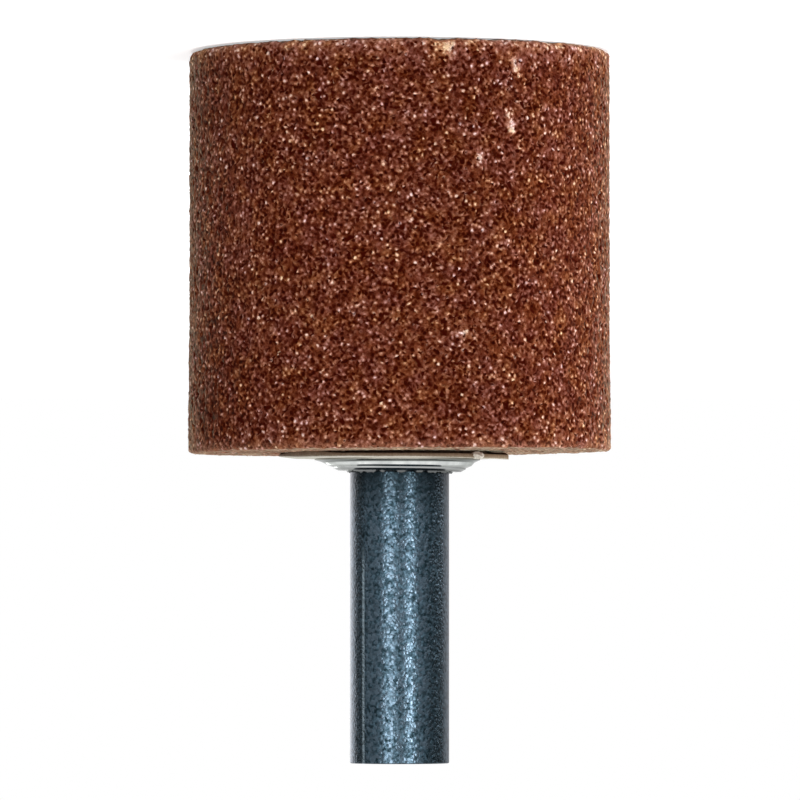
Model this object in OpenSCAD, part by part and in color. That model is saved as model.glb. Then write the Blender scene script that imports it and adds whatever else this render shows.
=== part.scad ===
// Cylindrical mounted point: a bonded abrasive head cemented on a steel spindle.
// It stands on the flat free end of the head, with the shank pointing up.
// Millimetres, +Z along the spindle, origin at the centre of the free end.

/* [Abrasive head] */
// Diameter of the head
head_d = 26.9; // [20:0.1:40]
// Length of the head along the spindle
head_len = 25.65; // [20:0.05:50]
// Edge radius at the free end
head_free_r = 0.45; // [0.2:0.05:2]
// Edge radius at the shank side
head_back_r = 0.2; // [0.1:0.05:1.5]

/* [Spindle] */
// Diameter of the shank that a collet grips
shank_d = 6.35; // [5.5:0.05:7.5]
// Length of shank that stands clear of the collar
shank_len = 18.7; // [12:0.1:60]
// Chamfer on the shank's free end
shank_end_c = 0.05; // [0.05:0.05:0.8]
// Chamfer on the shoulder that carries the collar
shoulder_c = 0.1; // [0.05:0.05:0.3]
// Diameter of the tang inside the head
tang_d = 4.76; // [3.5:0.02:5.2]
// Depth of the tang inside the head
tang_depth = 16; // [8:0.5:18]
// Chamfer on the tang's tip
tang_tip_c = 0.5; // [0.2:0.05:1]

/* [Knurl on the tang] */
// Depth of the knurl's grooves
knurl_depth = 0.22; // [0.1:0.02:0.4]
// Flutes around the tang
knurl_flutes = 16; // [8:1:24]
// Distance between the rings cut across the flutes
knurl_pitch = 2; // [1:0.1:4]
// Plain length left at each end of the knurl
knurl_land = 1.5; // [0.5:0.1:3]

/* [Cement] */
// Thickness of the cement around the tang
cement_wall = 0.2; // [0.1:0.05:0.6]
// Thickness of the cement under the tang's tip
cement_tip = 0.5; // [0.2:0.05:1.5]
// Thickness of the cement pad squeezed out on the head's back
pad_t = 0.25; // [0.1:0.01:0.5]
// How far the pad reaches past the collar's rim
pad_reach = 0.3; // [0.1:0.05:1]

/* [Paper washer] */
// Outer diameter of the paper washer
washer_d = 14.7; // [13:0.1:18]
// Thickness of the paper
washer_t = 0.22; // [0.1:0.01:0.6]
// Play of the washer's hole on the tang, all round
washer_play = 0.4; // [0.1:0.05:0.8]
// Gap left where the loose washer lies closest to the tang
washer_touch = 0.04; // [0.02:0.01:0.08]

/* [Collar] */
// Diameter of the collar's rim
collar_d = 10.6; // [9.8:0.1:12.4]
// Diameter of the bend between the steep wall and the slope
collar_bend_d = 9.4; // [9:0.1:9.7]
// Diameter of the flat that sits on the shank's shoulder
collar_flat_d = 7.9; // [7.6:0.1:8.8]
// Height of the dished collar
collar_h = 0.78; // [0.7:0.02:1.4]
// Height of the bend between the steep wall and the slope
collar_bend_h = 0.44; // [0.36:0.02:0.6]
// Thickness of the collar's sheet, along the spindle
collar_t = 0.3; // [0.2:0.02:0.34]
// Height of the rim's cut edge
collar_rim = 0.09; // [0.05:0.01:0.18]
// Clearance of the collar's bore on the tang, all round
collar_fit = 0.05; // [0.02:0.01:0.1]

/* [Hidden] */
$fn = 96;

head_r = head_d / 2;
shank_r = shank_d / 2;
tang_r = tang_d / 2;
washer_r = washer_d / 2;
collar_r = collar_d / 2;
collar_bend_r = collar_bend_d / 2;
collar_flat_r = collar_flat_d / 2;

// The stack along the spindle, from the head's back to the shank's end
pad_z = head_len;
washer_z = pad_z + pad_t;
collar_z = washer_z + washer_t;
shoulder_z = collar_z + collar_h;
shank_end_z = shoulder_z + shank_len;
tang_tip_z = head_len - tang_depth;

// The moulded blind hole takes the tang and the cement around it
hole_r = tang_r + cement_wall;
hole_floor_z = tang_tip_z - cement_tip;

// The loose washer lies against one side of the tang
washer_hole_r = tang_r + washer_play;
washer_shift = washer_play - washer_touch;

// Radius at which the underside of the collar's wall meets the washer
hollow_r = collar_r - (collar_r - collar_bend_r) * (collar_t - collar_rim) / (collar_bend_h - collar_rim);

// Corner of a section that a round edge takes away, in the quadrant from the arc's centre
module edge_waste(r, cut) {
    difference() {
        square(r + cut);
        circle(r);
    }
}

// Half section of the head, with its two round edges
module head_section() {
    cut = 1;
    difference() {
        square([head_r, head_len]);
        translate([head_r - head_free_r, head_free_r])
            mirror([0, 1])
                edge_waste(head_free_r, cut);
        translate([head_r - head_back_r, head_len - head_back_r])
            edge_waste(head_back_r, cut);
    }
}

module abrasive_head() {
    color("#74422f")
        difference() {
            rotate_extrude() head_section();
            translate([0, 0, hole_floor_z])
                cylinder(r = hole_r, h = head_len);
        }
}

module paper_washer() {
    color("#8f7a60")
        translate([washer_shift, 0, washer_z])
            difference() {
                cylinder(r = washer_r, h = washer_t);
                translate([0, 0, -washer_t])
                    cylinder(r = washer_hole_r, h = 3 * washer_t);
            }
}

// The collar's outside, filled: cut rim, steep wall, slope and flat
module collar_blank() {
    rotate_extrude()
        polygon([
            [0, 0],
            [collar_r, 0],
            [collar_r, collar_rim],
            [collar_bend_r, collar_bend_h],
            [collar_flat_r, collar_h],
            [0, collar_h]
        ]);
}

// The space under the dished collar
module collar_hollow() {
    rotate_extrude()
        polygon([
            [0, 0],
            [hollow_r, 0],
            [collar_bend_r, collar_bend_h - collar_t],
            [collar_flat_r, collar_h - collar_t],
            [0, collar_h - collar_t]
        ]);
}

module steel_collar() {
    color("#c9ccca")
        translate([0, 0, collar_z])
            difference() {
                collar_blank();
                collar_hollow();
                translate([0, 0, -collar_h])
                    cylinder(r = tang_r + collar_fit, h = 3 * collar_h);
            }
}

// A V groove of the knurl is a square bar standing on its corner
knurl_bar = knurl_depth * sqrt(2);

module knurl_cuts() {
    low_z = tang_tip_z + tang_tip_c + knurl_land;
    high_z = head_len - knurl_land;
    for (i = [0 : knurl_flutes - 1])
        rotate([0, 0, i * 360 / knurl_flutes])
            translate([tang_r, 0, (low_z + high_z) / 2])
                rotate([0, 0, 45])
                    cube([knurl_bar, knurl_bar, high_z - low_z], center = true);
    for (z = [low_z + knurl_pitch / 2 : knurl_pitch : high_z - knurl_pitch / 2])
        translate([0, 0, z])
            rotate_extrude()
                translate([tang_r, 0])
                    rotate(45)
                        square(knurl_bar, center = true);
}

module tang() {
    difference() {
        union() {
            translate([0, 0, tang_tip_z])
                cylinder(r1 = tang_r - tang_tip_c, r2 = tang_r, h = tang_tip_c);
            translate([0, 0, tang_tip_z + tang_tip_c])
                cylinder(r = tang_r, h = shoulder_z - tang_tip_z - tang_tip_c);
        }
        knurl_cuts();
    }
}

module shank() {
    translate([0, 0, shoulder_z])
        cylinder(r1 = shank_r - shoulder_c, r2 = shank_r, h = shoulder_c);
    translate([0, 0, shoulder_z + shoulder_c])
        cylinder(r = shank_r, h = shank_len - shoulder_c - shank_end_c);
    translate([0, 0, shank_end_z - shank_end_c])
        cylinder(r1 = shank_r, r2 = shank_r - shank_end_c, h = shank_end_c);
}

module spindle() {
    color("#4d5a63")
        union() {
            tang();
            shank();
        }
}

// One continuous filling: the hole around the tang, the pad on the head's back,
// the washer's hole and the hollow of the collar
module bonding_cement() {
    color("#5a4a3c")
        difference() {
            union() {
                translate([0, 0, hole_floor_z])
                    cylinder(r = hole_r, h = pad_z - hole_floor_z);
                translate([0, 0, pad_z])
                    cylinder(r = collar_r + pad_reach, h = pad_t);
                translate([washer_shift, 0, washer_z])
                    cylinder(r = washer_hole_r, h = washer_t);
                translate([0, 0, collar_z])
                    collar_hollow();
            }
            tang();
        }
}

abrasive_head();
paper_washer();
steel_collar();
spindle();
bonding_cement();
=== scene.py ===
# %% [markdown]
# # A mounted point, dressed
# The imported solids of a small grinding point are the frame: a brown abrasive cylinder on a steel
# spindle, with a paper washer and a bright collar between them. This lesson gives each piece the
# surface that the real one has. It starts by loading the frame.

# %% Load the frame
import math

import bmesh
import bpy
import numpy as np
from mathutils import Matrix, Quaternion, Vector, noise
from mathutils.kdtree import KDTree


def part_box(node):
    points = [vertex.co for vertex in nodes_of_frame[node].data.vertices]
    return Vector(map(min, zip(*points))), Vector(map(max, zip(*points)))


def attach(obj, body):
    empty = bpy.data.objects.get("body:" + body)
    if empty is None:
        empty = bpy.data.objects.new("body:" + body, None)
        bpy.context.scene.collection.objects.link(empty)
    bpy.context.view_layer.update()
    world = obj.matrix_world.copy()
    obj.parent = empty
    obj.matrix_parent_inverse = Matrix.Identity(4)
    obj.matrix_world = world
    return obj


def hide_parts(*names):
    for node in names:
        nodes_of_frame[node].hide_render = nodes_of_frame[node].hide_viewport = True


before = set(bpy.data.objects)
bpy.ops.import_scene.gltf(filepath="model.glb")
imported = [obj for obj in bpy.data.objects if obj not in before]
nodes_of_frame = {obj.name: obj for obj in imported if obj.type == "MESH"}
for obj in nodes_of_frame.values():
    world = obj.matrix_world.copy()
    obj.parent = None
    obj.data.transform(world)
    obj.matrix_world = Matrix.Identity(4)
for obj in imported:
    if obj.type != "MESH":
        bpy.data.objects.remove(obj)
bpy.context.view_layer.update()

MM = 0.001
print("nodes:", sorted(nodes_of_frame))

# %% [markdown]
# ## Where everything sits
# The point stands on the flat free end of its head, and its shank points up. The sizes are read
# from the solids, so that a piece made here meets its neighbours without any fitting. Round edges
# and bores can't be read from a box: they repeat the values of the source.

# %% Sizes read from the solids
head_low, head_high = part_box("abrasive_head")
washer_low, washer_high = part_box("paper_washer")
collar_low, collar_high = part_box("steel_collar")
_, spindle_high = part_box("spindle")
cement_low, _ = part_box("bonding_cement")

head_r = (head_high.x - head_low.x) / 2
head_top = head_high.z
washer_r = (washer_high.x - washer_low.x) / 2
washer_x = (washer_high.x + washer_low.x) / 2
collar_r = (collar_high.x - collar_low.x) / 2
collar_z = collar_low.z
shank_top = spindle_high.z
hole_floor = cement_low.z

free_edge_r = 0.45 * MM
back_edge_r = 0.2 * MM
hole_r = 2.58 * MM
washer_hole_r = 2.78 * MM
print("head in mm:", round(2 * head_r / MM, 2), "x", round(head_top / MM, 2))

# %% [markdown]
# ## A material to start from
# Every finish below starts the same way: an empty material with one Principled shader. A short
# helper makes it, and others add a node, join two nodes, or mix two colours, so that the recipes
# read as lists of ingredients. A value that is the same all over a piece goes straight on the
# shader.

# %% Material helpers
def new_finish(name, **sockets):
    material = bpy.data.materials.new(name)
    material.use_nodes = True
    shader = material.node_tree.nodes["Principled BSDF"]
    for socket, value in sockets.items():
        shader.inputs[socket.replace("_", " ")].default_value = value
    return material, material.node_tree, shader


def add_node(tree, kind, **inputs):
    node = tree.nodes.new(kind)
    for socket, value in inputs.items():
        key = socket.replace("_", " ")
        if key in node.inputs:
            node.inputs[key].default_value = value
        else:
            setattr(node, socket, value)
    return node


def join(tree, source, output, target, socket):
    tree.links.new(source.outputs[output], target.inputs[socket])


def colour_ramp(tree, source, stops):
    """Turn a value into a colour along a row of stops."""
    ramp = tree.nodes.new("ShaderNodeValToRGB")
    elements = ramp.color_ramp.elements
    while len(elements) < len(stops):
        elements.new(0.5)
    for element, (place, colour) in zip(elements, stops):
        element.position = place
        element.color = (*colour, 1.0)
    tree.links.new(source, ramp.inputs["Fac"])
    return ramp.outputs["Color"]


def feed(tree, value, socket):
    """Give a socket its value, which is a constant or an output of another node."""
    if isinstance(value, bpy.types.NodeSocket):
        tree.links.new(value, socket)
    else:
        socket.default_value = value


def mix_colour(tree, factor, low, high, blend="MIX"):
    mix = add_node(tree, "ShaderNodeMix", data_type="RGBA", blend_type=blend)
    for place, value in ((0, factor), (6, low), (7, high)):
        feed(tree, value, mix.inputs[place])
    return mix.outputs[2]


def combine(tree, operation, first, second):
    """Make one value of two, such as their sum, their product or the larger of them."""
    node = add_node(tree, "ShaderNodeMath", operation=operation)
    feed(tree, first, node.inputs[0])
    feed(tree, second, node.inputs[1])
    return node.outputs[0]


def spread(tree, source, from_low, from_high, to_low, to_high):
    """Stretch a value from one range to another and clamp it."""
    stretch = tree.nodes.new("ShaderNodeMapRange")
    tree.links.new(source, stretch.inputs[0])
    for place, value in enumerate((from_low, from_high, to_low, to_high), start=1):
        stretch.inputs[place].default_value = value
    return stretch.outputs[0]


# %% [markdown]
# A texture needs to know where it is. These three helpers lay a texture over a piece by the
# piece's own coordinates, tell a point's place on the piece, and turn a texture into a relief that
# shows in the light. So a pattern stays with its piece when the piece moves.

# %% Texture helpers
def texture_on(tree, kind, **inputs):
    """A texture node that follows the piece's own coordinates, in metres, turned askew so that
    no row of its lattice lies along the piece."""
    place = tree.nodes.new("ShaderNodeTexCoord")
    askew = add_node(tree, "ShaderNodeMapping", Rotation=(0.5, 0.7, 0.3))
    texture = add_node(tree, kind, **inputs)
    join(tree, place, "Object", askew, "Vector")
    join(tree, askew, "Vector", texture, "Vector")
    return texture


def place_on(tree):
    """The place of a point on the piece, in metres, as the outputs X, Y and Z."""
    place = tree.nodes.new("ShaderNodeSeparateXYZ")
    join(tree, tree.nodes.new("ShaderNodeTexCoord"), "Object", place, "Vector")
    return place.outputs


def relief(tree, shader, height, strength, depth):
    bump = add_node(tree, "ShaderNodeBump", Strength=strength, Distance=depth)
    tree.links.new(height, bump.inputs["Height"])
    join(tree, bump, "Normal", shader, "Normal")


# %% [markdown]
# ## The abrasive head: a walk along its section
# The head is a cylinder of crushed grains, each about 0.4 mm across, held by a glassy bond. Its
# surface isn't a smooth wall with a pattern on it: every grain has its own level and its own
# facets. So the mesh is a net of knots that is finer than the grains. First the half section of
# the head is walked from the middle of the free end to the mouth of the hole, one row of knots at
# a time, and each step keeps its radius, its height and the way that the surface faces there. The
# two end faces are seen less than the side, so their rows stand a fifth further apart.

# %% Walk along the head's half section
def head_section():
    def arc(centre_r, centre_z, radius, start, stop):
        turns = np.radians(np.linspace(start, stop, 25))
        return np.column_stack((centre_r + radius * np.cos(turns),
                                centre_z + radius * np.sin(turns)))

    free_edge = arc(head_r - free_edge_r, free_edge_r, free_edge_r, -90, 0)
    back_edge = arc(head_r - back_edge_r, head_top - back_edge_r, back_edge_r, 0, 90)
    return np.vstack(([[0.0, 0.0]], free_edge, back_edge, [[hole_r, head_top]]))


end_face_pitch = 1.2
walk_steps = 6000
section = head_section()
section_run = np.concatenate(([0.0], np.cumsum(np.linalg.norm(np.diff(section, axis=0), axis=1))))


def along_section(run):
    return np.column_stack([np.interp(run, section_run, section[:, axis]) for axis in (0, 1)])


def facing_at(run, reach):
    step = along_section(run + reach) - along_section(run - reach)
    return np.column_stack((step[:, 1], -step[:, 0])) / np.linalg.norm(step, axis=1)[:, None]


def rows_along(pitch):
    """Rows of points along the section, the way that the surface faces there, and their pitch."""
    walk = np.linspace(0.0, section_run[-1], walk_steps)
    faces_out = facing_at(walk, pitch)[:, 0] > 0.6
    walk_pitch = np.where(faces_out, pitch, end_face_pitch * pitch)
    rows = np.concatenate(([0.0], np.cumsum(walk[1] / (walk_pitch[1:] * math.sqrt(3) / 2))))
    run = np.interp(np.linspace(0.0, rows[-1], round(rows[-1]) + 1), rows, walk)
    return along_section(run), facing_at(run, pitch / 2), np.interp(run, walk, walk_pitch)


print("length of the half section in mm:", round(section_run[-1] / MM, 2))

# %% [markdown]
# Each row becomes a ring of points, as many as fit at its radius, and neighbouring rings are
# zipped into triangles. The same rings at a wider pitch will give the middles of the grains.

# %% Rings of points over the head
def ring_net(pitch):
    place, facing, row_pitch = rows_along(pitch)
    points, normals, rings = [(0.0, 0.0, 0.0)], [(0.0, 0.0, -1.0)], [(0, np.zeros(1))]
    for row in range(1, len(place)):
        count = max(6, round(2 * math.pi * place[row, 0] / row_pitch[row]))
        turn = (np.arange(count) + 0.5 * (row % 2)) * 2 * math.pi / count
        rings.append((len(points), turn))
        for body, (out, up) in ((points, place[row]), (normals, facing[row])):
            body.extend(zip(out * np.cos(turn), out * np.sin(turn), np.full(count, up)))
    return np.array(points), np.array(normals), rings


def zip_rings(rings):
    triangles = []
    for (low_start, low_turn), (high_start, high_turn) in zip(rings, rings[1:]):
        low_count, high_count = len(low_turn), len(high_turn)
        if low_count == 1:
            triangles.extend((low_start, high_start + (k + 1) % high_count, high_start + k)
                             for k in range(high_count))
            continue
        low_next = np.append(low_turn[1:], low_turn[0] + 2 * math.pi)
        high_next = np.append(high_turn[1:], high_turn[0] + 2 * math.pi)
        i = j = 0
        while i < low_count or j < high_count:
            low_knot, high_knot = low_start + i % low_count, high_start + j % high_count
            if j >= high_count or (i < low_count and low_next[i] <= high_next[j]):
                i += 1
                triangles.append((low_knot, low_start + i % low_count, high_knot))
            else:
                j += 1
                triangles.append((low_knot, high_start + j % high_count, high_knot))
    return np.array(triangles)


knot_pitch = 0.191 * MM
knots, knot_normal, knot_rings = ring_net(knot_pitch)
net = zip_rings(knot_rings)
print("knots:", len(knots), "triangles:", len(net))

# %% [markdown]
# A moulded body has no rows. Each knot is nudged sideways by a seeded random draw, and then
# Blender's beautify tool turns the lines of the net wherever that makes better triangles. The
# middles of the grains are shaken the same way, and every knot finds the grain that it belongs to
# and how far it is from the seam to the next one.

# %% Shake the net, re-tie it and share it out among the grains
draw = np.random.default_rng(20)


def shake(points, normals, reach):
    around = np.cross(normals, [0.0, 0.0, 1.0])
    around[np.linalg.norm(around, axis=1) < 1e-6] = [1.0, 0.0, 0.0]
    around /= np.linalg.norm(around, axis=1)[:, None]
    nudge = draw.uniform(-reach, reach, (len(points), 2))
    return points + nudge[:, :1] * around + nudge[:, 1:] * np.cross(normals, around)


def retie(points, triangles):
    weave = bmesh.new()
    corners = [weave.verts.new(p) for p in points]
    for a, b, c in triangles:
        weave.faces.new((corners[a], corners[b], corners[c]))
    bmesh.ops.beautify_fill(weave, faces=weave.faces[:], edges=weave.edges[:], method="ANGLE")
    weave.verts.index_update()
    tied = np.array([[v.index for v in face.verts] for face in weave.faces])
    weave.free()
    return tied


def nearest_grains(points, middles):
    grains = KDTree(len(middles))
    for index, middle in enumerate(middles):
        grains.insert(middle, index)
    grains.balance()
    pairs = [grains.find_n(point, 2) for point in points]
    owner = np.array([own[1] for own, _ in pairs])
    seam_gap = np.array([other[2] - own[2] for own, other in pairs])
    return owner, seam_gap


knot_nudge, grain_nudge = 0.40, 0.48
mouth_start = knot_rings[-1][0]
shaken = shake(knots, knot_normal, knot_nudge * knot_pitch)
shaken[mouth_start:] = knots[mouth_start:]
net = retie(shaken, net)

grain_pitch = 0.40 * MM
grain_ring_points, grain_ring_normals, _ = ring_net(grain_pitch)
grain_middle = shake(grain_ring_points, grain_ring_normals, grain_nudge * grain_pitch)
grain_count = len(grain_middle)
own_grain, to_seam = nearest_grains(shaken, grain_middle)
print("grains:", grain_count, "knots for each:", round(len(shaken) / grain_count, 1))

# %% [markdown]
# Crushed grain stands out singly: a pale crystal with darker bond around it. A plain random draw
# doesn't look like that, because it has clouds and worms as well as specks. Taking away half the
# mean of the next knots clears the clouds. Then only the knots that are the palest or the darkest
# among their neighbours keep their full draw, and the rest are toned down, so that specks stay
# single.

# %% Draw the specks
def ties_of(triangles):
    """The two ends of every tie of the net, each tie once from either end."""
    ends = np.vstack([triangles[:, pair] for pair in ([0, 1], [1, 2], [2, 0])])
    return np.concatenate((ends[:, 0], ends[:, 1])), np.concatenate((ends[:, 1], ends[:, 0]))


knot_count = len(shaken)
here, there = ties_of(net)
speck = draw.normal(0.0, 1.0, knot_count)
ties = np.maximum(np.bincount(here, minlength=knot_count), 1)
speck -= 0.5 * np.bincount(here, speck[there], knot_count) / ties
highest, lowest = np.full(knot_count, -np.inf), np.full(knot_count, np.inf)
np.maximum.at(highest, here, speck[there])
np.minimum.at(lowest, here, speck[there])
single = (speck > highest) | (speck < lowest)
toned_down = 0.6
speck = np.where(single, speck, toned_down * speck)
speck /= speck.std()
print("single specks:", int(single.sum()), "of", knot_count)

# %% [markdown]
# A trued head has its grains cut off at about one level, the pale specks a trace proud of the
# rest, small pores along the seams, and here and there a grain that broke out. Grains go missing
# in clusters, so a noise decides where. The two ends are rubbed and closed: their pores are fewer.

# %% Give every knot its level
def noise_at(points, size, shift=0.0):
    offset = Vector((shift, shift, shift))
    return np.array([noise.noise(Vector(p) / size + offset) for p in points])


rub_free, rub_back = 1.6 * MM, 1.4 * MM
knot_radius = np.hypot(shaken[:, 0], shaken[:, 1])
on_side = np.clip((knot_radius - head_r + 1.3 * MM) / MM, 0, 1)
near_free = np.clip(1 - shaken[:, 2] / rub_free, 0, 1) * on_side
near_back = np.clip(1 - (head_top - shaken[:, 2]) / rub_back, 0, 1) * on_side
rubbed = np.maximum(near_free, near_back)

cluster_size, crowd_size = 1.1 * MM, 0.8 * MM
cluster = noise_at(grain_middle, cluster_size)
grain_level = draw.normal(0.0, 0.018, grain_count).clip(-0.05, 0.03)
broken_out = draw.random(grain_count) < 0.02 + 0.06 * cluster
grain_level[broken_out] -= draw.uniform(0.05, 0.13, broken_out.sum())
knot_level = 0.010 * speck + draw.normal(0.0, 0.012, knot_count)
level = grain_level[own_grain] + knot_level.clip(-0.06, 0.04)

seam_reach = 0.14 * MM
seam_chance, facet_chance = 0.16, 0.09
crowd = noise_at(shaken, crowd_size, 7.0)
pit_chance = np.where(to_seam < seam_reach, seam_chance, facet_chance)
is_pit = draw.random(knot_count) < pit_chance * (1 + 0.6 * crowd) * (1 - 0.7 * rubbed)
level[is_pit] -= draw.uniform(0.05, 0.18, is_pit.sum())
print("pits:", int(is_pit.sum()), "broken out:", int(broken_out.sum()))

# %% [markdown]
# Wear stays as it is on the real one. The free edge has three shallow chips on the side that faces
# the camera, each given by its turn away from the camera, its reach along the edge and its depth.
# Towards its back the head is a trace wider, as a moulded body that was drawn from its tool, and
# the mould left its two end faces a little out of square.

# %% Chips, flare and the faces out of square
chips = [(11.6, 2.4, 0.16), (26.1, 1.6, 0.10), (46.0, 2.6, 0.12)]
turn_away = np.degrees(np.arctan2(-shaken[:, 0], -shaken[:, 1]))
chipped = np.zeros(knot_count)
for turn, reach, chip_depth in chips:
    chipped += chip_depth * np.exp(-((turn_away - turn) / reach) ** 2)
edge_zone = np.clip(1 - shaken[:, 2] / (0.6 * MM), 0, 1) * on_side
uneven_edge = 0.05 * np.abs(noise_at(shaken, 1.6 * MM)) * np.maximum(edge_zone, near_back)
level -= edge_zone * chipped + uneven_edge

flare_out = 0.07 * MM
flare = np.clip((shaken[:, 2] - 0.7 * head_top) / (0.25 * head_top), 0, 1) * on_side
outward = shaken * [1.0, 1.0, 0.0] / np.maximum(knot_radius, 1e-9)[:, None]
head_points = shaken + level[:, None] * MM * knot_normal + (flare_out * flare)[:, None] * outward

free_slope, back_slope, back_lift = 0.0045, 0.0065, 0.03 * MM
from_free = np.clip(shaken[:, 2] / head_top, 0.0, 1.0)
head_points[:, 2] += free_slope * (head_points[:, 0] + head_r) * (1 - from_free)
head_points[:, 2] += (back_lift + back_slope * head_points[:, 0]) * from_free
head_points[:, 2] = np.maximum(head_points[:, 2], 0.0)
print("highest grain outside the wall in mm:", round(float(level.max()), 3))

# %% [markdown]
# The hole for the spindle is closed plainly: a wall straight down from the last ring, and a
# floor. No one sees it, but the head stays one closed body.

# %% Close the hole and make the mesh
mouth_count = knot_count - mouth_start
floor_ring = head_points[mouth_start:] * [1.0, 1.0, 0.0] + [0.0, 0.0, hole_floor]
head_points = np.vstack((head_points, floor_ring, [[0.0, 0.0, hole_floor]]))
hole_faces = []
for k in range(mouth_count):
    after = (k + 1) % mouth_count
    hole_faces.append((mouth_start + after, mouth_start + k, knot_count + k))
    hole_faces.append((mouth_start + after, knot_count + k, knot_count + after))
    hole_faces.append((knot_count + after, knot_count + k, knot_count + mouth_count))


def mesh_from(name, points, faces, smooth=False):
    mesh = bpy.data.meshes.new(name)
    mesh.from_pydata([tuple(p) for p in points], [], [tuple(f) for f in faces])
    mesh.update()
    if smooth:
        mesh.shade_smooth()
    piece = bpy.data.objects.new(name, mesh)
    bpy.context.scene.collection.objects.link(piece)
    return piece


head = mesh_from("abrasive_grains", head_points, np.vstack((net, hole_faces)), smooth=True)
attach(head, "root")
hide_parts("abrasive_head")
print("head triangles:", len(head.data.polygons))

# %% [markdown]
# Colour belongs to the grain, so it is stored with the mesh: a tone for each knot with a small
# change from facet to facet, and a pore value that is high in the pits. Eight pale scuffs, six
# white crystals and one dark smudge are part of the tone, and so are the two rubbed edges, which
# are paler than the wall. The white crystals also stand in as painted glints, and the free edge is
# painted paler still, as a highlight for the light that it catches.

# %% Store tone and pore with the mesh
def blot(turn, height, reach):
    """A soft spot on the head's side, by its turn away from the camera and its height in mm."""
    across = np.radians(turn_away - turn) * head_r / MM
    return np.exp(-(across ** 2 + (shaken[:, 2] / MM - height) ** 2) / reach ** 2)


scuffs = [(30.9, 4.8, 0.26), (31.3, 5.3, 0.30), (31.7, 5.8, 0.22), (21.9, 7.5, 0.30),
          (32.4, 1.3, 0.25), (32.9, 1.9, 0.28), (13.0, 0.7, 0.40), (17.1, 18.5, 0.26)]
smudge = (-62.0, 22.6, 2.6)
dot_reach = 0.13
# Painted glints: these white crystals are also where the head's glints are painted into its colour.
white_dots = [(-1.8, 3.9), (-4.0, 7.8), (-8.1, 9.4), (63.0, 8.1), (-29.9, 6.2), (-36.3, 8.9)]
scuff_pale, smudge_dark, dot_pale = 0.52, 0.08, 0.55
shade = sum(scuff_pale * blot(*scuff) for scuff in scuffs) - smudge_dark * blot(*smudge)
shade += sum(dot_pale * blot(turn, up, dot_reach) for turn, up in white_dots)
# Painted highlight: the free edge is made paler for the light that it catches; the back edge is
# paler from rubbing.
shade += 0.16 * near_free + 0.10 * edge_zone + 0.07 * near_back

middle_tone, speck_share = 0.475, 0.13
grain_tone = draw.normal(0.0, 0.025, grain_count)
tone = middle_tone + speck_share * speck * (1 - 0.4 * near_free) + grain_tone[own_grain] + shade
facet = draw.uniform(-0.03, 0.03, len(net))
pore = np.where(is_pit, draw.uniform(0.7, 1.0, knot_count), 0.25 * draw.random(knot_count))
# Broken-out grains get a high pore value too, so they are painted dark as shade.
pore = np.maximum(pore, 0.55 * broken_out[own_grain])


def store(piece, name, domain, values):
    layer = piece.data.attributes.new(name, "FLOAT", domain)
    layer.data.foreach_set("value", np.asarray(values, dtype=np.float32))


in_hole = np.zeros(len(hole_faces))
in_floor = np.ones(mouth_count + 1)
store(head, "tone", "POINT", np.concatenate((tone.clip(0.0, 1.1), in_floor)))
store(head, "pore", "POINT", np.concatenate((pore, in_floor)))
store(head, "facet", "FACE", np.concatenate((facet, in_hole)))
print("mean tone:", round(float(tone.mean()), 3))

# %% [markdown]
# ## The finish of the abrasive
# Aluminium oxide fired in a reddish bond: most grains are red-brown, some tan, and a few almost
# cream; the cream ones are pale crystals and also painted glints, which stand in for light mirrored
# by crystal faces. A cell texture adds round crystals to the specks of the net, each with its own
# draw from dark to pale and strongest in its middle. A faint sheen gives the dusty veil that a
# matt, crumbly surface has where it turns away from the eye.

# %% Colours of the grains
abrasive, tree, shader = new_finish("bonded_abrasive", Roughness=0.75, Specular_IOR_Level=0.0,
                                    Sheen_Weight=0.30, Sheen_Roughness=0.3,
                                    Sheen_Tint=(0.94, 0.93, 0.68, 1.0))


def stored(tree, name):
    return add_node(tree, "ShaderNodeAttribute", attribute_name=name).outputs["Fac"]


crystals = texture_on(tree, "ShaderNodeTexVoronoi", Scale=4000.0)
crystal_draw = tree.nodes.new("ShaderNodeSeparateColor")
join(tree, crystals, "Color", crystal_draw, "Color")
roundness = spread(tree, crystals.outputs["Distance"], 0.15, 0.70, 1.0, 0.0)
pale_share = spread(tree, crystal_draw.outputs["Red"], 0.0, 1.0, -0.39, 0.40)
crystal_tone = combine(tree, "MULTIPLY", roundness, pale_share)
facet_tone = combine(tree, "ADD", stored(tree, "tone"), stored(tree, "facet"))
# The cream end of this ramp is pale crystals and also painted glints.
grain_colour = colour_ramp(tree, combine(tree, "ADD", facet_tone, crystal_tone), [
    (0.20, (0.030, 0.0022, 0.0007)),
    (0.36, (0.072, 0.0107, 0.0036)),
    (0.50, (0.155, 0.038, 0.0190)),
    (0.65, (0.288, 0.106, 0.066)),
    (0.78, (0.535, 0.262, 0.192)),
    (0.90, (0.870, 0.650, 0.570)),
])
print("abrasive nodes so far:", len(tree.nodes))

# %% [markdown]
# A fine noise breaks up each facet, and two slow ones make the patches and the turns of hue that
# every fired body has. The pores take a near-black maroon: the colour of the bond, darkened further
# as painted shade in the pits. Towards the back edge the grains turn a little paler.

# %% Patches, pores and dust
crumb = texture_on(tree, "ShaderNodeTexNoise", Scale=8500.0, Detail=2.0)
crumb_tone = colour_ramp(tree, crumb.outputs["Fac"], [
    (0.32, (0.66, 0.61, 0.59)),
    (0.68, (1.32, 1.36, 1.38)),
])
broken_up = mix_colour(tree, 1.0, grain_colour, crumb_tone, "MULTIPLY")
patches = texture_on(tree, "ShaderNodeTexNoise", Scale=330.0, Detail=3.0)
patch_tone = colour_ramp(tree, patches.outputs["Fac"], [
    (0.30, (0.95, 0.89, 0.90)),
    (0.70, (1.05, 1.10, 1.08)),
])
patched = mix_colour(tree, 1.0, broken_up, patch_tone, "MULTIPLY")

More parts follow.
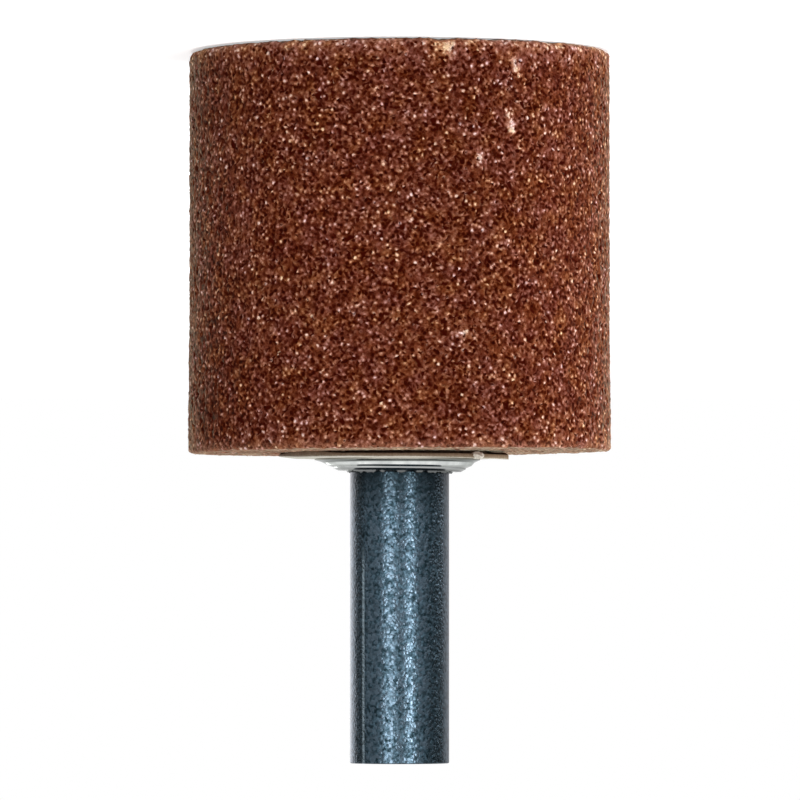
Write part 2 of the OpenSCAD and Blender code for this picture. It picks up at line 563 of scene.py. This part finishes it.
hues = texture_on(tree, "ShaderNodeTexNoise", Scale=800.0, Detail=2.0)
hue_tone = colour_ramp(tree, hues.outputs["Fac"], [
    (0.35, (1.03, 1.00, 0.70)),
    (0.65, (0.99, 1.00, 1.16)),
])
tinted = mix_colour(tree, 1.0, patched, hue_tone, "MULTIPLY")

# Painted shade: the pits take the bond's maroon, darkened as shade.
in_pore = spread(tree, stored(tree, "pore"), 0.36, 0.76, 0.0, 1.0)
bond_and_pit_shade = mix_colour(tree, in_pore, tinted, (0.050, 0.0035, 0.0010, 1.0))

# Towards the back edge the grains are mixed a little towards a paler brown.
paling_start, paling_full = head_top - 0.55 * MM, head_top - 0.02 * MM
back_paling = spread(tree, place_on(tree)["Z"], paling_start, paling_full, 0.0, 0.42)
paling_grain = spread(tree, crumb.outputs["Fac"], 0.35, 0.60, 0.1, 1.0)
paling_share = combine(tree, "MULTIPLY", back_paling, paling_grain)
paled = mix_colour(tree, paling_share, bond_and_pit_shade, (0.34, 0.165, 0.10, 1.0))
tree.links.new(paled, shader.inputs["Base Color"])
relief(tree, shader, crumb.outputs["Fac"], 0.2, 0.04 * MM)
head.data.materials.append(abrasive)
print("abrasive nodes:", len(tree.nodes))

# %% [markdown]
# ## The paper washer
# A punched disc of brown kraft paper lies between head and collar. It is flat where the collar
# holds it, and waves a little outside. Towards +X and +Y its plies have parted, and the lower one
# hangs down to the head. At the far tip on +X the paper is pinched thin, and on the side of the
# camera it is bent up towards -X and a trace down towards +X. It is made as rings of points, top
# and bottom, and each point is moved along the spindle by where it lies.

# %% Make the paper washer
washer_turns = 240
washer_rings = 24
paper_t = washer_high.z - washer_low.z


def paper_lift(x, y, level):
    """How far the paper's lower (0) or upper (1) face leaves its flat place, in mm."""
    free_share = np.clip((np.hypot(x, y) - collar_r) / (washer_r - collar_r), 0, 1.2) ** 1.3
    ripple = 0.02 * noise_at(np.column_stack((x, y, np.zeros_like(x))), 2.2 * MM, 3.0)
    tip = np.clip((x / MM - 6.6) / 1.1, 0, 1)
    parted = 0.17 * np.clip((x / MM - 3.6) / 2.0, 0, 1) * (1 - tip)
    parted = np.maximum(parted, 0.26 * np.clip((y / MM - 0.5) / 1.5, 0, 1))
    sag = 0.07 * np.clip((y / MM - 0.5) / 1.5, 0, 1) * level
    near_side = np.clip(0.5 - y / MM, 0, 1)
    bent_up = 0.09 * np.clip((-x / MM - 1.0) / 4.0, 0, 1) * near_side * (0.15 + 0.85 * level)
    bent_down = 0.025 * np.clip((x / MM - 1.0) / 4.0, 0, 1) * near_side * level
    free_part = free_share * (ripple + bent_up - bent_down - 0.01 - sag)
    return free_part - 0.10 * tip * level - free_share ** 0.5 * parted * (1 - level)


def paper_rings():
    turn = np.linspace(0, 2 * math.pi, washer_turns, endpoint=False)
    circle = np.column_stack((np.cos(turn), np.sin(turn), np.zeros(washer_turns)))
    fray = 0.03 * noise_at(circle, 0.11) + 0.02 * noise_at(circle, 0.025)
    sheets = []
    for level in (0, 1):
        for ring in range(washer_rings + 1):
            share = ring / washer_rings
            radius = washer_hole_r + (washer_r - washer_hole_r) * share + fray * MM * share ** 6
            x, y = washer_x + radius * circle[:, 0], radius * circle[:, 1]
            z = washer_low.z + paper_t * level + paper_lift(x, y, level) * MM
            sheets.append(np.column_stack((x, y, z)))
    return np.vstack(sheets)


def paper_faces():
    faces = []
    top = (washer_rings + 1) * washer_turns
    rim = washer_rings * washer_turns
    for k in range(washer_turns):
        after = (k + 1) % washer_turns
        for ring in range(washer_rings):
            low, high = ring * washer_turns, (ring + 1) * washer_turns
            faces.append((low + k, low + after, high + after, high + k))
            faces.append((top + low + k, top + high + k, top + high + after, top + low + after))
        faces.append((rim + k, rim + after, top + rim + after, top + rim + k))
        faces.append((k, top + k, top + after, after))
    return faces


washer = mesh_from("kraft_washer", paper_rings(), paper_faces())
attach(washer, "root")
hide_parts("paper_washer")
print("washer faces:", len(washer.data.polygons))

# %% [markdown]
# Kraft paper is a mat of fibres. Its face is cream, and its cut edge turns to a dark brown towards
# the head: the stain of the stone's dust, together with painted shade from the narrow gap under the
# head. So each point of the mesh keeps a value that is 0 on the face by the head and 1 on the
# other, and a ramp turns it into the colour.

# %% Kraft paper finish
store(washer, "sheet", "POINT", np.repeat([0.0, 1.0], (washer_rings + 1) * washer_turns))
kraft, tree, shader = new_finish("kraft_paper", Roughness=0.85, Specular_IOR_Level=0.2)
fibres = texture_on(tree, "ShaderNodeTexNoise", Scale=5200.0, Detail=4.0, Distortion=1.5)
fibre_tone = colour_ramp(tree, fibres.outputs["Fac"], [
    (0.30, (0.72, 0.70, 0.66)),
    (0.70, (1.18, 1.20, 1.22)),
])
# Stain and painted shade: the edge darkens towards the head, by the stone's dust and by the gap
# under the head.
across = colour_ramp(tree, stored(tree, "sheet"), [
    (0.00, (0.152, 0.094, 0.055)),
    (0.50, (0.245, 0.179, 0.121)),
    (0.80, (0.300, 0.243, 0.173)),
    (0.97, (0.690, 0.660, 0.580)),
])
tree.links.new(mix_colour(tree, 1.0, across, fibre_tone, "MULTIPLY"), shader.inputs["Base Color"])
relief(tree, shader, fibres.outputs["Fac"], 0.5, 0.03 * MM)
washer.data.materials.append(kraft)
print("paper nodes:", len(tree.nodes))

# %% [markdown]
# ## The bright collar
# The collar is pressed from plated sheet. Its profile is turned as a lathe would: a cut rim, a
# narrow flange, a steep wall, a slope, a step and a flat that the shank sits on. A steep face
# throws the studio's white at the viewer and a slope mirrors the dark shank, and that makes the
# bands of light that give pressed sheet away. Where the shank was pressed home, the sheet rose in
# a lip around its foot.

# %% Turn the collar
collar_turns = 240
under_side = [(2.43, 0.48), (3.95, 0.48), (4.70, 0.14), (4.94, 0.0)]
rim_and_flange = [(5.30, 0.0), (5.30, 0.085), (4.94, 0.215)]
wall_and_slope = [(4.86, 0.44), (4.50, 0.565)]
step_and_flat = [(4.44, 0.66), (3.95, 0.78)]
foot_lip = [(3.45, 0.78), (3.34, 0.96), (3.22, 0.95), (3.19, 0.80), (2.43, 0.78)]
collar_profile = under_side + rim_and_flange + wall_and_slope + step_and_flat + foot_lip


def soften(corners, reach):
    """Round every corner of a closed outline, and hold the straight parts beside it."""
    softened = []
    corners = np.array(corners)
    befores, afters = np.roll(corners, 1, axis=0), np.roll(corners, -1, axis=0)
    for before, corner, after in zip(befores, corners, afters):
        back = (before - corner) / np.linalg.norm(before - corner)
        ahead = (after - corner) / np.linalg.norm(after - corner)
        softened += [corner + 2 * reach * back, corner + reach * back,
                     corner + reach * (back + ahead) / 4,
                     corner + reach * ahead, corner + 2 * reach * ahead]
    return softened


def lathe(profile, turns):
    """Turn a closed profile of (radius, height) in mm about the spindle's axis."""
    angle = np.linspace(0, 2 * math.pi, turns, endpoint=False)
    ring = np.column_stack((np.cos(angle), np.sin(angle)))
    points = np.vstack([np.column_stack((r * ring, np.full(turns, z))) for r, z in profile])
    faces = []
    for step in range(len(profile)):
        low, high = step * turns, (step + 1) % len(profile) * turns
        for k in range(turns):
            after = (k + 1) % turns
            faces.append((low + k, low + after, high + after, high + k))
    return points, faces


collar_points, collar_faces = lathe(soften(collar_profile, 0.008), collar_turns)
print("collar faces:", len(collar_faces))

# %% [markdown]
# Thin pressed sheet is never true: the rim lies a little towards +X, the wall is squeezed to an
# oval, the flat leans, its edge waves, and the lip is ragged, high in one place and low in the
# next.

# %% Bend the collar out of true
flat_h = 0.78
flat_edge_r = 3.9
lip_r = 3.46
collar_out = np.hypot(collar_points[:, 0], collar_points[:, 1])
past_flat = collar_out - flat_edge_r
height_share = (collar_points[:, 2] / flat_h).clip(0, 1)
on_wall = ((collar_points[:, 2] - 0.2) / 0.2).clip(0, 1) * (past_flat / 0.5).clip(0, 1)
collar_points[:, 0] *= 1 - 0.05 * on_wall
collar_points[:, 0] += 0.14 * (past_flat / 1.4).clip(0, 1) * (1 - on_wall)
flat_places = collar_points * [1.0, 1.0, 0.0]
wave = 0.6 * noise_at(flat_places, 0.16) + 0.6 * noise_at(flat_places, 0.5, 5.0)
in_lip = (collar_out < lip_r) & (collar_points[:, 2] > flat_h + 0.005)
ragged = (0.50 + wave[in_lip]).clip(0.06, 1.0)
collar_points[in_lip, 2] = flat_h + (collar_points[in_lip, 2] - flat_h) * ragged
at_edge = (collar_out > 3.8) & (collar_out < 4.2) & (collar_points[:, 2] > 0.7)
collar_points[at_edge, 2] += 0.03 * wave[at_edge]
collar_points[:, 2] -= 0.012 * collar_points[:, 0] * height_share

seated_points = collar_points * MM + [0.0, 0.0, collar_z]
collar = mesh_from("plated_collar", seated_points, collar_faces, smooth=True)
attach(collar, "root")
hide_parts("steel_collar")
print("collar's highest point in mm above its seat:", round(float(collar_points[:, 2].max()), 3))

# %% [markdown]
# The plate is bright but not a mirror: smears change its gloss from place to place. The rim was cut
# after plating, so it is raw and rough. The flange above it is painted dark, as the shade under the
# washer's rim. From the step up to the shank's foot the plate is painted darker, for the dark shank
# that it mirrors and the shade at the shank's foot, and darkest on the flat and its raised lip.

# %% Bright plate finish
plate, tree, shader = new_finish("bright_plate", Metallic=1.0,
                                 Specular_Tint=(0.55, 0.56, 0.55, 1.0))
smears = texture_on(tree, "ShaderNodeTexNoise", Scale=1100.0, Detail=4.0)
plate_tone = colour_ramp(tree, smears.outputs["Fac"], [
    (0.3, (0.57, 0.59, 0.58)),
    (0.7, (0.84, 0.86, 0.84)),
])
plate_height = place_on(tree)["Z"]


def by_height(low, high, at_low, at_high):
    """A share that changes between two heights above the collar's seat, given in mm."""
    return spread(tree, plate_height, collar_z + low * MM, collar_z + high * MM, at_low, at_high)


# Painted reflection and shade: the plate is darker from the step up to the shank's foot.
above_step = by_height(0.53, 0.60, 0.0, 0.85)
painted_dark_above_step = mix_colour(tree, above_step, plate_tone, (0.35, 0.355, 0.355, 1.0))
on_flat = by_height(0.74, 0.80, 0.0, 1.0)
painted_dark_flat = mix_colour(tree, on_flat, painted_dark_above_step, (0.145, 0.15, 0.15, 1.0))
# Painted shade: the flange under the washer's rim is darkened.
on_flange = by_height(0.20, 0.28, 0.80, 0.0)
plated = mix_colour(tree, on_flange, painted_dark_flat, (0.09, 0.095, 0.085, 1.0))
cut_edge = by_height(0.08, 0.09, 1.0, 0.0)
edged = mix_colour(tree, cut_edge, plated, (0.30, 0.285, 0.245, 1.0))
tree.links.new(edged, shader.inputs["Base Color"])

smeared_gloss = spread(tree, smears.outputs["Fac"], 0.3, 0.7, 0.06, 0.18)
raw_gloss = spread(tree, cut_edge, 0.0, 1.0, 0.0, 0.5)
gloss = combine(tree, "MAXIMUM", smeared_gloss, raw_gloss)
tree.links.new(gloss, shader.inputs["Roughness"])
relief(tree, shader, smears.outputs["Fac"], 0.2, 0.03 * MM)
collar.data.materials.append(plate)
print("plate nodes:", len(tree.nodes))

# %% [markdown]
# ## The spindle
# The shank keeps its solid. It is drawn steel with a dark blue-grey skin that is pebbled all over
# at about a fifth of a millimetre. A cell texture gives every pebble a low dome, so that each
# one mirrors a lamp in a single spark, and a draw of its own: some are rubbed pale and smooth, and
# the rest stay dull.

# %% The pebbled skin
dark_steel, tree, shader = new_finish("dark_steel", Metallic=1.0,
                                      Specular_Tint=(0.98, 0.97, 1.0, 1.0))
pebbles = texture_on(tree, "ShaderNodeTexVoronoi", Scale=4800.0)
from_peak = pebbles.outputs["Distance"]
dome = combine(tree, "MULTIPLY", from_peak, from_peak)
pebble_draw = tree.nodes.new("ShaderNodeSeparateColor")
join(tree, pebbles, "Color", pebble_draw, "Color")
mottle = texture_on(tree, "ShaderNodeTexNoise", Scale=4800.0, Detail=3.0)
steel_tone = colour_ramp(tree, mottle.outputs["Fac"], [
    (0.36, (0.007, 0.014, 0.018)),
    (0.50, (0.021, 0.038, 0.050)),
    (0.64, (0.050, 0.082, 0.108)),
])
rub_share = spread(tree, pebble_draw.outputs["Red"], 0.30, 1.0, 0.0, 1.0)
rubbed_tone = mix_colour(tree, rub_share, steel_tone, (0.060, 0.085, 0.109, 1.0))
relief(tree, shader, spread(tree, dome, 0.0, 0.5, 1.0, 0.0), 1.0, 0.009 * MM)
print("steel nodes so far:", len(tree.nodes))

# %% [markdown]
# Towards the collar the skin is painted darker, as shade near the collar. One drawing line runs
# along the shank, from the free end two thirds of the way down. Seen at a low angle the pebbles run
# together, so the gloss is hazier where the shank turns away from the eye.

# %% The dark foot, the drawing line and the gloss
place = place_on(tree)
# Painted shade: the skin darkens towards the collar.
foot = spread(tree, place["Z"], collar_high.z, collar_high.z + 3.0 * MM, 0.9, 0.0)
foot_shaded = mix_colour(tree, foot, rubbed_tone, (0.008, 0.013, 0.016, 1.0))

line_x = 2.31 * MM
line_start, line_full = shank_top - 14.0 * MM, shank_top - 12.0 * MM
off_line = combine(tree, "ABSOLUTE", combine(tree, "SUBTRACT", place["X"], line_x), 0.0)
on_line = spread(tree, off_line, 0.03 * MM, 0.10 * MM, 0.9, 0.0)
in_front = spread(tree, place["Y"], -0.5 * MM, 0.0, 1.0, 0.0)
far_part = spread(tree, place["Z"], line_start, line_full, 0.0, 1.0)
line_share = combine(tree, "MULTIPLY", combine(tree, "MULTIPLY", on_line, in_front), far_part)
lined = mix_colour(tree, line_share, foot_shaded, (0.25, 0.32, 0.37, 1.0))
tree.links.new(lined, shader.inputs["Base Color"])

polish = spread(tree, rub_share, 0.0, 1.0, 0.36, 0.17)
turned_away = add_node(tree, "ShaderNodeLayerWeight", Blend=0.5).outputs["Facing"]
haze = spread(tree, turned_away, 0.45, 0.60, 0.0, 0.40)
tree.links.new(combine(tree, "MAXIMUM", polish, haze), shader.inputs["Roughness"])
spindle = nodes_of_frame["spindle"]
spindle.data.materials.clear()
spindle.data.materials.append(dark_steel)
print("steel nodes:", len(tree.nodes))

# %% [markdown]
# ## The cement
# The cement keeps its solid too: it shows only as a dark line between head and washer, so a dark,
# crumbly finish is enough.

# %% Cement finish
cement_finish, tree, shader = new_finish("set_cement", Roughness=0.9, Specular_IOR_Level=0.15)
crumbs = texture_on(tree, "ShaderNodeTexNoise", Scale=4000.0, Detail=5.0)
cement_tone = colour_ramp(tree, crumbs.outputs["Fac"], [
    (0.3, (0.030, 0.014, 0.007)),
    (0.7, (0.085, 0.050, 0.030)),
])
tree.links.new(cement_tone, shader.inputs["Base Color"])
cement = nodes_of_frame["bonding_cement"]
cement.data.materials.clear()
cement.data.materials.append(cement_finish)
print("cement nodes:", len(tree.nodes))

# %% [markdown]
# One bead of the cement was squeezed out past the washer's rim and dried pale. It is a ball that is
# pressed flat and swollen unevenly by a noise, as a drop of a stiff paste is.

# %% A bead of dried cement
bead_middle = np.array([-4.92, -5.15, 26.00]) * MM
bead_size = np.array([0.40, 0.26, 0.23]) * MM


def lump(middle, size):
    ball = bmesh.new()
    bmesh.ops.create_icosphere(ball, subdivisions=4, radius=1.0)
    points = np.array([tuple(v.co) for v in ball.verts])
    faces = [[v.index for v in face.verts] for face in ball.faces]
    ball.free()
    swell = 1 + 0.35 * noise_at(points, 0.7) + 0.12 * noise_at(points, 0.2)
    return middle + points * swell[:, None] * size, faces


bead = mesh_from("cement_bead", *lump(bead_middle, bead_size), smooth=True)
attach(bead, "root")
pale_cement, tree, shader = new_finish("dried_cement", Roughness=0.7, Specular_IOR_Level=0.3)
specks = texture_on(tree, "ShaderNodeTexNoise", Scale=6000.0, Detail=3.0)
speck_tone = colour_ramp(tree, specks.outputs["Fac"], [
    (0.3, (0.46, 0.40, 0.33)),
    (0.7, (0.80, 0.78, 0.69)),
])
tree.links.new(speck_tone, shader.inputs["Base Color"])
bead.data.materials.append(pale_cement)
print("bead faces:", len(bead.data.polygons))

# %% [markdown]
# ## The studio
# A pale floor and a white surround carry the picture. To the eye the floor glows a little, and more
# where the lamps hardly reach, so that it is white all over and still keeps the point's shadow.
# Only the camera and glossy surfaces see the glow, so it isn't one more lamp on the point.

# %% Floor
floor_r = 0.8
floor_sides = 96
floor_turn = np.linspace(0, 2 * math.pi, floor_sides, endpoint=False)
floor_edge = np.column_stack((np.cos(floor_turn), np.sin(floor_turn), np.zeros(floor_sides)))
floor = mesh_from("studio_floor", floor_r * floor_edge, [range(floor_sides)])


def seen_directly(tree):
    """1 for rays that come straight or by a reflection from the camera, 0 for rays that light."""
    path = tree.nodes.new("ShaderNodeLightPath").outputs
    reflected = combine(tree, "MAXIMUM", path["Is Glossy Ray"], path["Is Transmission Ray"])
    return combine(tree, "MAXIMUM", path["Is Camera Ray"], reflected)


floor_finish, tree, shader = new_finish("studio_floor", Base_Color=(0.92, 0.92, 0.92, 1.0),
                                        Roughness=0.9, Specular_IOR_Level=0.0,
                                        Emission_Color=(1.0, 1.0, 1.0, 1.0))
near_r, far_r = 0.10, 0.40
from_middle = add_node(tree, "ShaderNodeVectorMath", operation="LENGTH")
join(tree, tree.nodes.new("ShaderNodeTexCoord"), "Object", from_middle, "Vector")
glow = spread(tree, from_middle.outputs["Value"], near_r, far_r, 0.50, 0.82)
seen_glow = combine(tree, "MULTIPLY", seen_directly(tree), glow)
tree.links.new(seen_glow, shader.inputs["Emission Strength"])
floor.data.materials.append(floor_finish)
print("floor across in m:", 2 * floor_r)

# %% [markdown]
# Three broad boxes, in front, on the right and above, give the soft light of the scene and are kept
# out of reflections. Two boxes beside the camera do the opposite: they show in glossy surfaces
# only, and give the sparks. One more, behind on the left, draws the edge of the shank.

# %% World and lamps
world = bpy.data.worlds.new("studio")
bpy.context.scene.world = world
world.use_nodes = True
tree = world.node_tree
background = tree.nodes["Background"]
background.inputs["Color"].default_value = (1.0, 1.0, 1.0, 1.0)
surround = spread(tree, seen_directly(tree), 0.0, 1.0, 0.27, 1.0)
tree.links.new(surround, background.inputs["Strength"])

lamp_reach = 0.40
lit_middle = Vector((0.0, 0.0, 0.022))


def soft_lamp(name, turn, climb, wide, high, power):
    """A soft box around the point: turn 0 is at the camera, positive at the picture's right."""
    lamp = bpy.data.lights.new(name, "AREA")
    lamp.shape = "RECTANGLE"
    lamp.size, lamp.size_y = wide, high
    lamp.energy = power
    holder = bpy.data.objects.new(name, lamp)
    side, up = math.radians(turn), math.radians(climb)
    way = Vector((-math.sin(side) * math.cos(up), -math.cos(side) * math.cos(up), math.sin(up)))
    holder.location = lit_middle + lamp_reach * way
    holder.rotation_mode = "QUATERNION"
    holder.rotation_quaternion = (-way).to_track_quat("-Z", "Y")
    bpy.context.scene.collection.objects.link(holder)
    return holder


box_side = 0.20
low_climb = 4
soft_lamp("edge_softbox", -148, low_climb, 0.30, box_side, 0.47)
broad_boxes = [
    ("front_softbox", 12, low_climb, 0.67),
    ("side_softbox", 108, low_climb, 1.95),
    ("top_softbox", 0, 75, 0.95),
]
for name, turn, climb, power in broad_boxes:
    soft_lamp(name, turn, climb, box_side, box_side, power).visible_glossy = False
spark_boxes = [("left_spark", -21.5, 0.17, 0.90), ("right_spark", 24.5, 0.095, 0.84)]
for name, turn, wide, power in spark_boxes:
    soft_lamp(name, turn, low_climb, wide, box_side, power).visible_diffuse = False
print("lamps:", len(bpy.data.lights))

# %% [markdown]
# Two grey cards stand beside the point and keep the shank's flanks dark, as photographers do with
# bright metal. They show in reflections only.

# %% Grey cards
card_finish, tree, shader = new_finish("grey_card", Base_Color=(0.05, 0.05, 0.05, 1.0),
                                       Roughness=1.0, Emission_Strength=0.10,
                                       Emission_Color=(0.92, 1.0, 0.86, 1.0))
card_top = np.array([0.0, 0.0, 0.20])
cards = [("left_card", -112, 0.36), ("right_card", 98, 0.42)]
for name, turn, card_wide in cards:
    side = math.radians(turn)
    middle = np.array([-math.sin(side), -math.cos(side), 0.0]) * lamp_reach
    along = np.array([math.cos(side), -math.sin(side), 0.0]) * card_wide / 2
    left, right = middle - along, middle + along
    card = mesh_from(name, [left, right, right + card_top, left + card_top], [(0, 1, 2, 3)])
    card.data.materials.append(card_finish)
    card.visible_camera = card.visible_diffuse = card.visible_shadow = False
print("cards:", len(cards))

# %% [markdown]
# A long lens looks from half a metre away and a trace from above. The point is shown head up, so
# the camera is turned over by half a turn about its own axis.

# %% Camera
camera_data = bpy.data.cameras.new("camera")
camera_data.sensor_width = 36.0
camera_data.lens = 351.3
camera = bpy.data.objects.new("camera", camera_data)
bpy.context.scene.collection.objects.link(camera)
camera_x = -0.03 * MM
camera.location = (camera_x, -0.5, 36.15 * MM)
aim = Vector((camera_x, 0.0, 22.35 * MM))
looking = (aim - camera.location).to_track_quat("-Z", "Y")
camera.rotation_mode = "QUATERNION"
camera.rotation_quaternion = looking @ Quaternion((0, 0, 1), math.pi)
bpy.context.scene.camera = camera
bpy.context.scene.view_settings.view_transform = "Standard"
print("camera to aim in m:", round((aim - camera.location).length, 3))
